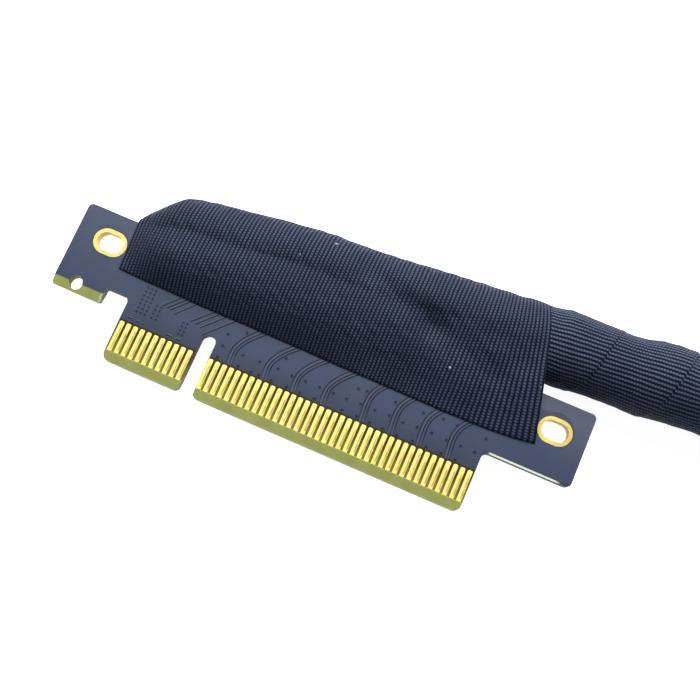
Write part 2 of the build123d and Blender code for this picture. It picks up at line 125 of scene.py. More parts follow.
# Vias: section from the rim to the middle and back below, over the radius and the rise, and points round it
VIA_PROFILE = [(1.0, 0.0), (0.92, 1.0), (0.62, 1.0), (0.5, 0.35), (0.02, 0.2), (0.02, -0.6), (0.98, -0.6)]
VIA_RISE = 0.03
VIA_AROUND = 16
VIAS = [(13.6, 9.6), (15.9, 10.8), (13.6, 7.9), (16.6, 7.8), (19.0, 7.9), (13.6, 6.2), (16.6, 6.2),
        (18.5, 6.2), (19.6, 6.2), (21.4, 6.2), (22.0, 9.7), (21.6, 8.0), (23.7, 7.8), (23.6, 6.2),
        (25.5, 6.2), (25.6, 7.9), (27.6, 7.9), (27.6, 6.25), (29.6, 7.9), (32.4, 9.75), (33.6, 9.9),
        (31.5, 7.9), (33.5, 8.0), (37.6, 10.05), (35.5, 8.0), (37.5, 8.1), (39.5, 7.95), (41.5, 10.2),
        (41.45, 8.15), (43.5, 8.2), (45.6, 8.1), (44.2, 10.5), (46.2, 10.4), (47.6, 8.1), (50.3, 10.3),
        (49.6, 8.1), (31.5, 6.3), (33.6, 6.3), (37.4, 6.15), (35.5, 6.2), (39.4, 6.1), (41.6, 6.2),
        (43.5, 6.2), (45.6, 6.2), (47.6, 6.1)]
VIA_RADIUS = 0.27
SMALL_VIAS = [(x, 7.63 + 0.59 * row) for row in range(7) for x in (1.08, 1.7, 2.31)]
SMALL_VIAS += [(x, 7.6 + 0.6 * row) for row in range(4) for x in (3.29, 3.93)]
SMALL_VIAS += [(x, 7.03 + 0.57 * row) for row in range(4) for x in (7.49, 8.06)]
SMALL_VIA_RADIUS = 0.19

# Copper under the mask of the ears, and painted sheen on them: x from and to, y from and how soft, middle of
# the ring in x, strength. The fields that soften over several millimetres, on the left ear and on the right
# ear's outer part, are painted sheen growing towards the tops of the ears; the sharp field by the wrap is
# copper.
EAR_POURS_AND_SHEEN = [(-12.0, -4.0, 9.0, 7.0, -6.3, 0.25), (50.0, 58.6, 16.7, 0.4, 58.2, 0.75),
             (58.4, 63.0, 10.0, 8.0, 58.2, 0.75)]
# Middle of the rings in y, and how far from it the copper and the painted sheen start
RING_Y = 14.8
RING_CLEAR = 2.45

# Bare laminate: pitch of its glass cloth, the dark strip between the contacts, and the pale rim at the foot
# of the right ear with the step that it starts from
CLOTH_PITCH = 0.45
STRIP_FROM, STRIP_TO = (1.38, 1.5), (6.2, 6.0)
RIGHT_STEP = 50.2
RIM_FROM, RIM_TO, RIM_TOP = (51.1, 51.6), (61.5, 60.5), (8.93, 8.85)

# Colours of small marks
FLECK = (0.4, 0.42, 0.44, 1.0)
TRACK_LANE = (0.05, 0.062, 0.1, 1.0)
TRACK_LINE = (0.002, 0.003, 0.012, 1.0)
# Lighter colour of the copper under the mask and of the painted sheen on the ears
COPPER_POUR_AND_SHEEN = (0.075, 0.084, 0.115, 1.0)
# Dark strip between the contacts, darker towards their tops
CONTACT_GAP_DARK = (0.018, 0.0165, 0.002, 1.0)
CUT_WALL = (0.05, 0.06, 0.045, 1.0)
BARE_RIM = (0.62, 0.68, 0.55, 1.0)
MASKED_CORNER = (0.022, 0.035, 0.077, 1.0)
WEAR_STREAK = (0.24, 0.14, 0.035, 1.0)
# Painted shade along both edges of each contact
CONTACT_EDGE_SHADE = (0.06, 0.055, 0.012, 1.0)

# Wires and glue: word in the node's name, material, colour, roughness, size of the grain and its depth
PLAIN_LOOKS = [("_signal_pairs", "Pair Jacket", (0.55, 0.6, 0.68), 0.35, 1.0, 0.00002),
               ("_clock_pair", "Clock Jacket", (0.35, 0.42, 0.6), 0.35, 1.0, 0.00002),
               ("_power_wires", "Power Jacket", (0.5, 0.04, 0.03), 0.4, 1.0, 0.00002),
               ("_control_wire", "Control Jacket", (0.8, 0.78, 0.72), 0.4, 1.0, 0.00002),
               ("_glue", "Glue", (0.72, 0.69, 0.58), 0.2, 2.0, 0.00006)]

# Camera fitted to the contacts, the key notch and the outline of the board
CAMERA_PLACE = (0.0137024, -0.0259369, 0.1420504)
CAMERA_TURN = (11.10896, -0.22311, 23.36292)
CAMERA_LENS = 53.743
FLOOR_REACH = 1.2
FLOOR_GLOW = 0.92
# Lights: name, place and size in metres
LIGHTS = [("key_light", (-0.08, 0.44, 0.51), 0.5), ("fill_light", (0.1, -0.5, 0.5), 0.6)]


class CableSizes(bpy.types.PropertyGroup):
    """Sizes that change how the tape and the tracks look"""

    diameter: FloatProperty(name="Cable Diameter", description="Outer diameter of the taped cable",
                            default=0.01, unit="LENGTH")
    length: FloatProperty(name="Cable Length", description="Length of the cable between the two wraps",
                          default=0.228, unit="LENGTH")
    lap_pitch: FloatProperty(name="Lap Pitch", description="Distance between two laps of the cable's tape",
                             default=0.01, unit="LENGTH")
    lap_rise: FloatProperty(name="Lap Rise", description="Height of a lap of tape over the one below",
                            default=0.00016, unit="LENGTH")
    wrap_rib: FloatProperty(name="Wrap Rib Pitch", default=0.00052, unit="LENGTH",
                            description="Distance between two ribs of the wrap's cloth")
    cable_rib: FloatProperty(name="Cable Rib Pitch", default=0.000561, unit="LENGTH",
                             description="Distance between two ribs of the cable's cloth")


class CableColours(bpy.types.PropertyGroup):
    """Colours of the boards, the gold and the cloth"""

    mask: FloatVectorProperty(name="Solder Mask", description="Colour of the solder mask", subtype="COLOR",
                              default=(0.0175, 0.03, 0.07))
    fibre: FloatVectorProperty(name="Glass Fibre", description="Colour of the bare board", subtype="COLOR",
                               default=(0.35, 0.38, 0.115))
    gold: FloatVectorProperty(name="Gold", description="Colour of the plated copper", subtype="COLOR",
                              default=(0.84, 0.67, 0.172))
    cloth: FloatVectorProperty(name="Cloth Tape", description="Colour between the threads", subtype="COLOR",
                               default=(0.003, 0.005, 0.018))
    # The threads' colour is a painted highlight on their crowns
    thread_highlight: FloatVectorProperty(name="Thread Highlight", description="Colour of the threads of the cloth tape",
                                subtype="COLOR", default=(0.092, 0.114, 0.172))
    plastic: FloatVectorProperty(name="Slot Plastic", description="Colour of the slot connector",
                                 subtype="COLOR", default=(0.025, 0.025, 0.028))


class CableStage(bpy.types.PropertyGroup):
    """Light and floor"""

    key: FloatProperty(name="Key Light", description="Power of the large soft light behind", default=8.7,
                       unit="POWER")
    fill: FloatProperty(name="Fill Light", description="Power of the soft light in front", default=0.12,
                        unit="POWER")
    ambient: FloatProperty(name="Ambient", description="Strength of the light from all round", default=0.1)
    reflected: FloatProperty(name="Reflected", description="Strength of what shiny faces reflect",
                             default=0.75)
    floor: FloatVectorProperty(name="Floor", description="Colour of the floor", subtype="COLOR",
                               default=(0.86, 0.86, 0.86))


# Surfaces

def place(points, end):
    """Board millimetres to metres in the row frame, at one end of the cable."""
    return (np.asarray(points, float) + np.array(end)) * 0.001


def added(name, data):
    """A new object in the scene's collection."""
    made = bpy.data.objects.new(name, data)
    bpy.context.scene.collection.objects.link(made)
    return made


def closed_tube(name, rings, u, v, smooth=True, swap=False):
    """A closed surface through rings of points, with a pole at the middle of each end.

    rings[i, j] is point j of ring i. u has one more column than the rings and v one value a ring; they
    become the UV map, in millimetres, with the two exchanged where asked. The faces turn outward.
    """
    n, m, _ = rings.shape
    points = np.vstack([rings.reshape(-1, 3), rings[0].mean(0), rings[-1].mean(0)])
    i, j = np.meshgrid(np.arange(n - 1), np.arange(m), indexing="ij")
    i, j = i.ravel(), j.ravel()
    k = (j + 1) % m
    quads = np.stack([i * m + j, i * m + k, (i + 1) * m + k, (i + 1) * m + j], 1)
    j = np.arange(m)
    k = (j + 1) % m
    first = np.stack([np.full(m, n * m), k, j], 1)
    last = np.stack([np.full(m, n * m + 1), (n - 1) * m + j, (n - 1) * m + k], 1)
    a, b, c, d = (points[quads[:, q]] for q in range(4))
    volume = (np.cross(b - a, c - a) * a).sum() + (np.cross(c - a, d - a) * a).sum()
    for fan in (first, last):
        a, b, c = (points[fan[:, q]] for q in range(3))
        volume += (np.cross(b - a, c - a) * a).sum()
    left, right = quads[:, 0] % m, quads[:, 0] % m + 1
    uvs = [np.stack([np.stack([u[row, column], v[row]], -1)
                     for row, column in ((i, left), (i, right), (i + 1, right), (i + 1, left))], 1)]
    for row, order in ((0, (j + 1, j)), (n - 1, (j, j + 1))):
        level = np.full(m, v[row])
        uvs.append(np.stack([np.stack([(u[row, j] + u[row, j + 1]) / 2, level], -1),
                             *(np.stack([u[row, column], level], -1) for column in order)], 1))
    parts = [quads, first, last]
    if volume < 0:
        parts, uvs = [p[:, ::-1] for p in parts], [w[:, ::-1] for w in uvs]
    mesh = bpy.data.meshes.new(name)
    mesh.from_pydata(points.tolist(), [], [f for p in parts for f in p.tolist()])
    layer = mesh.uv_layers.new(name="Millimetres")
    spread = np.concatenate([w.reshape(-1, 2) for w in uvs])
    layer.data.foreach_set("uv", (spread[:, ::-1] if swap else spread).ravel())
    mesh.polygons.foreach_set("use_smooth", np.full(len(mesh.polygons), smooth))
    mesh.update()
    return added(name, mesh)


def joined(name, pieces):
    """One object from several, which are removed."""
    with bpy.context.temp_override(active_object=pieces[0], selected_editable_objects=pieces):
        bpy.ops.object.join()
    pieces[0].name = name
    pieces[0].data.name = name
    return pieces[0]


def smoothed(values, reach):
    """Values after a Gaussian blur along the first axis, with both ends held."""
    kernel = np.exp(-0.5 * (np.arange(-3 * reach, 3 * reach + 1) / reach) ** 2)
    kernel /= kernel.sum()
    pad = 3 * reach
    before, after = values[pad:0:-1], values[-2:-pad - 2:-1]
    padded = np.concatenate([2 * values[:1] - before, values, 2 * values[-1:] - after])
    return np.apply_along_axis(lambda w: np.convolve(w, kernel, "valid"), 0, padded)


def waves(a, b, seed, count=14, low=0.05, high=0.6):
    """Smooth random field over two lengths in millimetres: the mean of sine waves, about -1 to 1."""
    rng = np.random.default_rng(seed)
    total = np.zeros(np.broadcast(a, b).shape)
    for _ in range(count):
        size, turn, phase = rng.uniform(low, high), rng.uniform(0, pi), rng.uniform(0, 2 * pi)
        total += np.sin(2 * pi * size * (a * np.cos(turn) + b * np.sin(turn)) + phase)
    return total / count ** 0.5


def teardrop(reach, radius, crown, power, count):
    """Section of the wrap: the tape's edge on the board, a run over the soldered wires and round the bundle.

    Starts in the middle of the lower edge, at (-reach, 0), and goes round over the upper face. The run
    between the edge and the bundle stands out by crown sin(pi s^power), with s from 0 to 1 along it.
    """
    tail = FACE + TAPE
    far = np.hypot(reach, tail)
    touch = pi - np.arctan2(tail, reach) - np.arccos(min(radius / far, 1.0))
    start = np.array([-reach, tail])
    meet = radius * np.array([np.cos(touch), np.sin(touch)])
    s = np.linspace(0, 1, 40)[:, None]
    run = start + s * (meet - start)
    along = (meet - start) / np.linalg.norm(meet - start)
    run += crown * np.sin(pi * s ** power) * np.array([-along[1], along[0]])
    turn = np.linspace(touch, 0, 60)[1:, None]
    arc = radius * np.hstack([np.cos(turn), np.sin(turn)])
    cut = [(-reach, 0), (-reach, tail - TAPE_CORNER[1]), (TAPE_CORNER[0] - reach, tail)]
    upper = np.vstack([cut, run[1:], arc])
    loop = np.vstack([upper, (upper * [1, -1])[-2:0:-1]])
    closed = np.vstack([loop, loop[:1]])
    step = np.r_[0, np.cumsum(np.linalg.norm(np.diff(closed, axis=0), axis=1))]
    at = np.linspace(0, step[-1], count + 1)
    return np.stack([np.interp(at, step, closed[:, 0]), np.interp(at, step, closed[:, 1])], 1), at


def wrap_surface(name, end):
    """Taut cloth tape over the wires: teardrop sections from the left edge to the seam round the cable.

    The lower edge, the outline at the top and the bundle's radius are interpolated between WRAP's
    stations and blurred. With x along the wrap, the section's plane turns by
    SEAM_TILT ((x - TILT_FROM) / (seam - TILT_FROM))^2, and the crown over the wires fades towards the seam.
    A dent is depth exp(-1.5 (away / reach)^2), away the distance from its line. The cloth has waves of
    WRAP_WAVE, which fade at both ends and at the lower edge.
    """
    table = np.array(WRAP)
    x = np.linspace(table[0, 0], table[-1, 0], WRAP_RINGS)
    low, top, radius = (smoothed(np.interp(x, table[:, 0], table[:, q]), 2) for q in (1, 2, 3))
    tilt = radians(SEAM_TILT) * np.clip((x - TILT_FROM) / (table[-1, 0] - TILT_FROM), 0, 1) ** 2
    tilt += radians(LEFT_TILT) * np.clip(-x / 4, 0, 1)
    crown, power = np.interp(x, CROWN_AT, CROWN), np.interp(x, CROWN_AT, CROWN_POWER)
    middle = top - SILHOUETTE * radius
    rings, around = [], []
    for xi, yl, ym, r, c, p, a in zip(x, low, middle, radius, crown, power, tilt):
        loop, at = teardrop((ym - yl) / np.cos(a), r, c, p, WRAP_AROUND)
        loop = loop[:-1]
        rings.append(np.stack([xi - np.sin(a) * loop[:, 0], ym + np.cos(a) * loop[:, 0], loop[:, 1]], 1))
        around.append(at)
    rings, around = np.array(rings), np.array(around)
    normal = np.cross(np.gradient(rings, axis=0), np.roll(rings, -1, 1) - np.roll(rings, 1, 1))
    normal /= np.linalg.norm(normal, axis=2, keepdims=True) + 1e-12
    outward = np.sign((normal * (rings - rings.mean(1, keepdims=True))).sum())
    move = WRAP_WAVE * waves(rings[..., 0], rings[..., 1] + 2 * rings[..., 2], 3)
    for (ax, ay), (bx, by), reach, depth in DENTS:
        run = np.array([bx - ax, by - ay])
        s = np.clip(((rings[..., 0] - ax) * run[0] + (rings[..., 1] - ay) * run[1]) / (run @ run), 0, 1)
        away = np.hypot(rings[..., 0] - ax - s * run[0], rings[..., 1] - ay - s * run[1])
        move -= depth * np.exp(-(away / reach) ** 2 * 1.5) * (rings[..., 2] > FACE)
    on_board = np.clip((rings[..., 1] - low[:, None] - 1.0) / 2.5, 0, 1)
    ends = np.clip(np.minimum(x - x[0], x[-1] - x) / 2.0, 0, 1)[:, None]
    rings = rings + outward * normal * (move * on_board * ends)[..., None]
    return closed_tube(name, place(rings, end), around, x, swap=True)


def strip_surface(name, run, half, z, end):
    """A flat printed track: the run's points with a thin closed section, u across it in millimetres.

    A run of more than three points is blurred into a curve. A shorter one has its v start at 2 mm, where
    the print is already at its full strength.
    """
    run = np.array(run, float)
    curved = len(run) > 3
    if curved:
        t = np.linspace(0, len(run) - 1, 40)
        run = smoothed(np.stack([np.interp(t, np.arange(len(run)), run[:, q]) for q in (0, 1)], 1), 3)
    ahead = np.gradient(run, axis=0)
    ahead /= np.linalg.norm(ahead, axis=1, keepdims=True)
    side = np.stack([ahead[:, 1], -ahead[:, 0]], 1)
    across = np.linspace(-half, half, TRACK_ACROSS)
    across = np.concatenate([across, across[-2:0:-1]])
    rise = np.where(np.arange(len(across)) < TRACK_ACROSS, TRACK_RISE, -TRACK_RISE) * np.sign(z)
    rise[[0, TRACK_ACROSS - 1]] *= 0.2
    flat = run[:, None] + side[:, None] * across[None, :, None]
    rings = np.concatenate([flat, np.broadcast_to(z + rise, flat.shape[:2])[..., None]], 2)
    u = np.broadcast_to(np.append(across, across[0]), (len(run), len(across) + 1))
    v = np.cumsum(np.linalg.norm(np.diff(run, axis=0, prepend=run[:1]), axis=1)) + (0 if curved else 2)
    return closed_tube(name, place(rings, end), u, v, smooth=False)


def via_surface(name, x, y, radius, z, end):
    """A covered via: a round pad with a raised rim, v the distance from its middle over its radius."""
    turn = np.linspace(0, 2 * pi, VIA_AROUND + 1)
    reach, rise = np.array(VIA_PROFILE).T
    across = radius * reach[:, None]
    up = np.broadcast_to(z + rise[:, None] * VIA_RISE * np.sign(z), (len(reach), VIA_AROUND))
    rings = np.stack([x + across * np.cos(turn[:-1]), y + across * np.sin(turn[:-1]), up], 2)
    u = np.zeros((len(reach), VIA_AROUND + 1))
    return closed_tube(name, place(rings[::-1], end), u, reach[::-1], smooth=False)


def route_points():
    """The cable's middle line, read from its NURBS curve, in metres."""
    curve = bpy.data.curves.new("cable_route", "CURVE")
    curve.dimensions = "3D"
    spline = curve.splines.new("NURBS")
    spline.points.add(len(ROUTE) - 1)
    for point, (x, y, z) in zip(spline.points, ROUTE):
        point.co = (x * 0.001, y * 0.001, z * 0.001, 1)
    spline.order_u = 3
    spline.resolution_u = 48
    spline.use_endpoint_u = True
    holder = added("cable_route", curve)
    line = bpy.data.meshes.new_from_object(holder)
    points = np.empty(len(line.vertices) * 3)
    line.vertices.foreach_get("co", points)
    bpy.data.objects.remove(holder)
    bpy.data.curves.remove(curve)
    bpy.data.meshes.remove(line)
    return points.reshape(-1, 3)


def cable_surface(name, path, sizes):
    """The cable's tape along its path, with helical laps.

    The radius is the cable's, plus rise (w^6 - 0.2), where w runs from 0 to 1 between two edges of a lap,
    w = (s / pitch - turn / 360 degrees - start) mod 1, with s the length along the path. Past LAP_EDGE it
    falls in a straight line to the lap below. The ribs step sideways by half a rib at each edge. The swell
    seen in the photograph is added at the start of the cable, and soft waves of 0.15 mm further on.
    """
    step = np.r_[0, np.cumsum(np.linalg.norm(np.diff(path, axis=0), axis=1))]
    seen, total = SEEN_LENGTH * 0.001, step[-1]
    s = np.r_[np.arange(0, seen, NEAR_STEP), np.linspace(seen, total, int((total - seen) / FAR_STEP))]
    line = np.stack([np.interp(s, step, path[:, q]) for q in range(3)], 1)
    ahead = smoothed(np.gradient(line, s, axis=0), 4)
    ahead /= np.linalg.norm(ahead, axis=1, keepdims=True)
    side = np.cross((0, 0, 1), ahead)
    side /= np.linalg.norm(side, axis=1, keepdims=True)
    up = np.cross(ahead, side)
    full_turn = np.linspace(0, 2 * pi, CABLE_AROUND + 1)
    laps = s[:, None] / sizes.lap_pitch - full_turn / (2 * pi) - LAP_START
    u = full_turn * sizes.diameter * 500 + 500 * sizes.cable_rib * (np.floor(laps) + full_turn / (2 * pi))
    turn, w = full_turn[:-1], laps[:, :-1] % 1.0
    lap = np.where(w > LAP_EDGE, (1 - w) / (1 - LAP_EDGE), w ** 6)
    around, along = turn[None] * sizes.diameter * 500, s[:, None] * 1000
    upper, lower = (np.interp(along, SWELL_AT, table) for table in (SWELL_TOP, SWELL_FOOT))
    swell = (upper + lower) / 2 + (upper - lower) / 2 * np.sin(turn)
    further = np.clip((along - 24) / 6, 0, 1) * np.clip((total * 1000 - 4 - along) / 6, 0, 1)
    soft = waves(3 * np.cos(turn), along + 3 * np.sin(turn), 8, low=0.03, high=0.1)
    swell = swell + 0.15 * further * soft
    uneven = 0.00003 * waves(around, along, 5)
    radius = sizes.diameter / 2 + sizes.lap_rise * (lap - 0.2) + 0.001 * swell + uneven
    rings = line[:, None] + radius[..., None] * (
        np.cos(turn)[None, :, None] * up[:, None] + np.sin(turn)[None, :, None] * side[:, None])
    rings[..., 2] = np.maximum(rings[..., 2], 0.00001)
    return closed_tube(name, rings, u, s * 1000)


# Node graphs

class Graph:
    """Short names for the nodes of one tree."""

    def __init__(self, tree):
        self.tree = tree

    def fill(self, made, **inputs):
        """Link or set a node's inputs, by name with _ for a space, or by number as i0, i1 and so on."""
        for name, value in inputs.items():
            numbered = name[0] == "i" and name[1:].isdigit()
            socket = made.inputs[int(name[1:]) if numbered else name.replace("_", " ")]
            if isinstance(value, bpy.types.NodeSocket):
                self.tree.links.new(value, socket)
            else:
                socket.default_value = value
        return made

    def node(self, kind, settings=(), **inputs):
        """A new node with its settings and its inputs."""
        made = self.tree.nodes.new(kind)
        for name, value in dict(settings).items():
            setattr(made, name, value)
        return self.fill(made, **inputs)

    def math(self, operation, a, b=0.0, c=0.0):
        return self.node("ShaderNodeMath", {"operation": operation}, i0=a, i1=b, i2=c).outputs[0]

    def times(self, first, *others):
        """Product of two or more values."""
        for other in others:
            first = self.math("MULTIPLY", first, other)
        return first

    def ramp(self, value, low, high, to_low=0.0, to_high=1.0):
        """Smooth step from low to high."""
        return self.node("ShaderNodeMapRange", {"interpolation_type": "SMOOTHSTEP"}, Value=value,
                         From_Min=low, From_Max=high, To_Min=to_low, To_Max=to_high).outputs[0]

    def noise(self, vector, scale, detail=2.0, roughness=0.5):
        return self.node("ShaderNodeTexNoise", Vector=vector, Scale=scale, Detail=detail,
                         Roughness=roughness).outputs["Fac"]

    def scaled(self, vector, amounts):
        return self.node("ShaderNodeVectorMath", {"operation": "MULTIPLY"}, i0=vector, i1=amounts).outputs[0]

    def axes(self, vector):
        return self.node("ShaderNodeSeparateXYZ", Vector=vector).outputs

    def mix(self, factor, a, b):
        """Colour from a, at factor 0, to b, at 1."""
        return self.node("ShaderNodeMix", {"data_type": "RGBA"}, i0=factor, i6=a, i7=b).outputs[2]

    def use(self, shared, **inputs):
        """Outputs of a shared node group."""
        return self.node("ShaderNodeGroup", {"node_tree": bpy.data.node_groups[shared]}, **inputs).outputs

    def glow(self, reflected):
        """White glow of the floor and the world: 1 to the camera, less in shiny faces, none on matte ones."""
        ray = self.node("ShaderNodeLightPath").outputs
        shiny = self.math("MAXIMUM", ray["Is Glossy Ray"], ray["Is Transmission Ray"])
        return self.math("MAXIMUM", ray["Is Camera Ray"], self.math("MULTIPLY", shiny, reflected))


def group(name, inputs, outputs):
    """The graph of a new node group: enter holds its inputs, and leave is the node that takes its outputs."""
    tree = bpy.data.node_groups.new(name, "ShaderNodeTree")
    for label, kind in inputs:
        tree.interface.new_socket(label, in_out="INPUT", socket_type=kind)
    for label, kind in outputs:
        tree.interface.new_socket(label, in_out="OUTPUT", socket_type=kind)
    g = Graph(tree)
    g.enter = tree.nodes.new("NodeGroupInput").outputs
    g.leave = tree.nodes.new("NodeGroupOutput")
    return g


def cloth_group():
    """Ribbed cloth: raised ribs along v with beads on them, every second rib's beads shifted by half."""
    g = group("Cloth Weave", [("Vector", "NodeSocketVector"), ("Rib", "NodeSocketFloat"),
                              ("Bead", "NodeSocketFloat"), ("Depth", "NodeSocketFloat"),
                              ("Foot", "NodeSocketFloat")],
              [("Height", "NodeSocketFloat"), ("Crown", "NodeSocketFloat"), ("Fleck", "NodeSocketFloat")])
    where = g.enter["Vector"]
    u, v, _ = g.axes(where)
    u = g.math("ADD", u, g.math("MULTIPLY", g.noise(where, 0.35, 1.0), 0.15))
    across = g.math("DIVIDE", u, g.enter["Rib"])
    odd = g.math("MULTIPLY", g.math("MODULO", g.math("FLOOR", across), 2.0), 0.5)
    along = g.math("ADD", g.math("DIVIDE", v, g.enter["Bead"]), odd)
    rib = g.math("ABSOLUTE", g.math("SINE", g.math("MULTIPLY", across, pi)))
    bead = g.math("ABSOLUTE", g.math("SINE", g.math("MULTIPLY", along, pi)))
    gap = g.math("MULTIPLY", g.enter["Depth"], g.math("SUBTRACT", 1.0, bead))
    height = g.math("MULTIPLY", g.math("POWER", rib, 0.7), g.math("SUBTRACT", 1.0, gap))
    height = g.math("ADD", height, g.math("MULTIPLY", g.noise(where, 5.0, 3.0), 0.15))
    g.fill(g.leave, Height=height, Crown=g.ramp(height, g.enter["Foot"], 1.12),
           Fleck=g.ramp(g.noise(where, 1.1, 0.0), 0.88, 0.892))


def speckle_group():
    """Fine grain and broad cloudy patches over a vector in millimetres."""
    g = group("Speckle", [("Vector", "NodeSocketVector"), ("Size", "NodeSocketFloat")],
              [("Shade", "NodeSocketFloat"), ("Height", "NodeSocketFloat")])
    fine = g.noise(g.enter["Vector"], g.math("DIVIDE", 6.0, g.enter["Size"]), 3.0, 0.6)
    broad = g.noise(g.enter["Vector"], g.math("DIVIDE", 0.25, g.enter["Size"]), 2.0)
    both = g.math("ADD", g.math("MULTIPLY", fine, 0.35), g.math("MULTIPLY", broad, 0.65))
    g.fill(g.leave, Shade=g.ramp(both, 0.3, 0.7), Height=fine)


def laminate_group():
    """Bare board: glass cloth, the dark strip between the contacts, the cut walls and the rim by the ear."""
    g = group("Laminate", [("Vector", "NodeSocketVector")],
              [("Weave", "NodeSocketFloat"), ("Stain", "NodeSocketFloat"), ("Wall", "NodeSocketFloat"),
               ("Rim", "NodeSocketFloat"), ("Masked", "NodeSocketFloat"), ("Height", "NodeSocketFloat")])
    where = g.enter["Vector"]
    x, y, z = g.axes(where)
    side, tip, up = (g.math("SUBTRACT", at, middle) for at, middle in zip((x, y, z), EDGE_END))
    face = g.math("GREATER_THAN", g.math("ABSOLUTE", up), 0.78)
    inside = g.math("SUBTRACT", 1.0, face)

    warp, weft = (g.math("SINE", g.math("MULTIPLY", at, 2 * pi / CLOTH_PITCH)) for at in (x, y))
    weave = g.math("ADD", g.times(warp, weft, 0.12), g.noise(where, 0.5, 3.0))
    height = g.math("ADD", weave, g.math("MULTIPLY", g.noise(where, 9.0), 0.3))
    g.fill(g.leave, Weave=weave, Height=height)

    # Dark strip between the contacts, darker towards their tops
    strip = g.times(g.ramp(tip, *STRIP_FROM), g.ramp(tip, *STRIP_TO))
    g.fill(g.leave, Stain=g.times(face, strip, g.ramp(tip, 1.0, 4.8, 0.6, 1.0)))

    # The foot left of the contacts has paler walls, palest at its end
    foot = g.times(g.math("LESS_THAN", side, -3.9), g.math("LESS_THAN", tip, 9.2))
    wall = g.times(inside, g.ramp(tip, 1.6, 5.0))
    end = g.times(foot, wall, g.math("GREATER_THAN", side, -4.4))
    g.fill(g.leave, Wall=g.times(wall, g.math("SUBTRACT", 1.0, foot)))

    # Beside the right ear the strip is bare in its middle and takes the mask's colour in the corners
    ear = g.times(g.math("GREATER_THAN", side, RIGHT_STEP), face, g.ramp(tip, 6.5, 6.6))
    rim = g.times(ear, g.ramp(side, *RIM_FROM), g.ramp(side, *RIM_TO), g.ramp(tip, *RIM_TOP))
    pale = g.math("MAXIMUM", g.math("MULTIPLY", end, 0.6), g.ramp(tip, 0.3, 0.12, 0.0, 0.12))
    g.fill(g.leave, Masked=g.math("SUBTRACT", ear, rim), Rim=g.math("MAXIMUM", rim, pale))


def pour_and_sheen_group():
    """Copper under the mask of the ears, and painted sheen on them: lighter fields, kept clear of the plated
    ring.
    """
    g = group("Copper Pour And Sheen", [("Vector", "NodeSocketVector")], [("Pour", "NodeSocketFloat")])
    x, y, _ = g.axes(g.enter["Vector"])
    x, y = g.math("SUBTRACT", x, EDGE_END[0]), g.math("SUBTRACT", y, EDGE_END[1])
    total = 0.0
    for low, high, level, soft, ring, strength in EAR_POURS_AND_SHEEN:
        across, up = g.math("SUBTRACT", x, ring), g.math("SUBTRACT", y, RING_Y)
        away = g.math("SQRT", g.math("ADD", g.math("MULTIPLY", across, across), g.math("MULTIPLY", up, up)))
        field = g.times(g.ramp(away, RING_CLEAR, RING_CLEAR + 0.2), g.ramp(y, level, level + soft),
                        g.ramp(x, low, low + 0.2), g.ramp(x, high, high - 0.2))
        total = g.math("MULTIPLY_ADD", field, strength, total)
    g.fill(g.leave, Pour=total)


def wear_and_shade_group():
    """Wear of the card edge's contacts, a brown streak right of the middle and fine scratches, and painted
    shade along both edges of each contact.
    """
    g = group("Contact Wear And Edge Shade", [("Vector", "NodeSocketVector")],
              [("Streak", "NodeSocketFloat"), ("Edge", "NodeSocketFloat"), ("Tone", "NodeSocketFloat"),
               ("Height", "NodeSocketFloat")])
    x, y, _ = g.axes(g.enter["Vector"])
    x, y = g.math("SUBTRACT", x, EDGE_END[0]), g.math("SUBTRACT", y, EDGE_END[1])
    number = g.math("ROUND", x)
    inside = g.math("SUBTRACT", x, number)
    chance = g.node("ShaderNodeTexWhiteNoise", {"noise_dimensions": "1D"}, W=number).outputs["Value"]
    brushed = g.noise(g.scaled(g.enter["Vector"], (9.0, 1.2, 1.0)), 1.0, 3.0, 0.6)
    past_end = g.math("SUBTRACT", y, g.math("ADD", 4.3, chance))
    streak = g.times(g.ramp(inside, -0.04, 0.1), g.ramp(inside, 0.34, 0.24), g.ramp(y, 1.5, 2.0),
                     g.ramp(past_end, 0.35, -0.35), g.ramp(brushed, 0.3, 0.6, 0.45, 1.0))
    tone = g.math("ADD", g.math("MULTIPLY", chance, 0.4), g.math("MULTIPLY", brushed, 0.6))
    # Painted shade on the outer edges of each contact
    edge = g.ramp(g.math("ABSOLUTE", inside), 0.3, 0.335)
    g.fill(g.leave, Streak=streak, Edge=edge, Tone=tone, Height=brushed)


def print_group():
    """A printed pair: a dark line with one 0.45 mm left and one 0.36 mm right, fading towards the foot."""
    g = group("Track Lines", [("Vector", "NodeSocketVector")],
              [("Line", "NodeSocketFloat"), ("Lane", "NodeSocketFloat")])
    u, v, _ = g.axes(g.enter["Vector"])
    away = g.math("ABSOLUTE", u)
    for beside in (-0.45, 0.36):
        away = g.math("MINIMUM", away, g.math("ABSOLUTE", g.math("SUBTRACT", u, beside)))
    lane = g.times(g.ramp(u, -0.46, -0.4), g.ramp(u, 0.36, 0.3), g.ramp(away, 0.08, 0.16))
    g.fill(g.leave, Line=g.times(g.ramp(away, 0.12, 0.05), g.ramp(v, 0.2, 2.0, 0.3, 0.85)), Lane=lane)


def material(name):
    """A new material, its graph, its Principled BSDF, the object's coordinates in millimetres and the UV."""
    made = bpy.data.materials.new(name)
    made.use_nodes = True
    g = Graph(made.node_tree)
    shader = made.node_tree.nodes["Principled BSDF"]
    where = g.node("ShaderNodeTexCoord").outputs
    return made, g, shader, g.scaled(where["Object"], (1000, 1000, 1000)), where["UV"]


def wire_up(g, shader, height, distance, strength, **inputs):
    """Set or link the shader's inputs and add a bump from a height."""
    bump = g.node("ShaderNodeBump", Height=height, Distance=distance, Strength=strength)
    g.fill(shader, Normal=bump.outputs[0], **inputs)


def shade(colour, factor):
    """A colour made lighter or darker, with its alpha."""
    return (*(min(1.0, c * factor) for c in colour[:3]), 1.0)


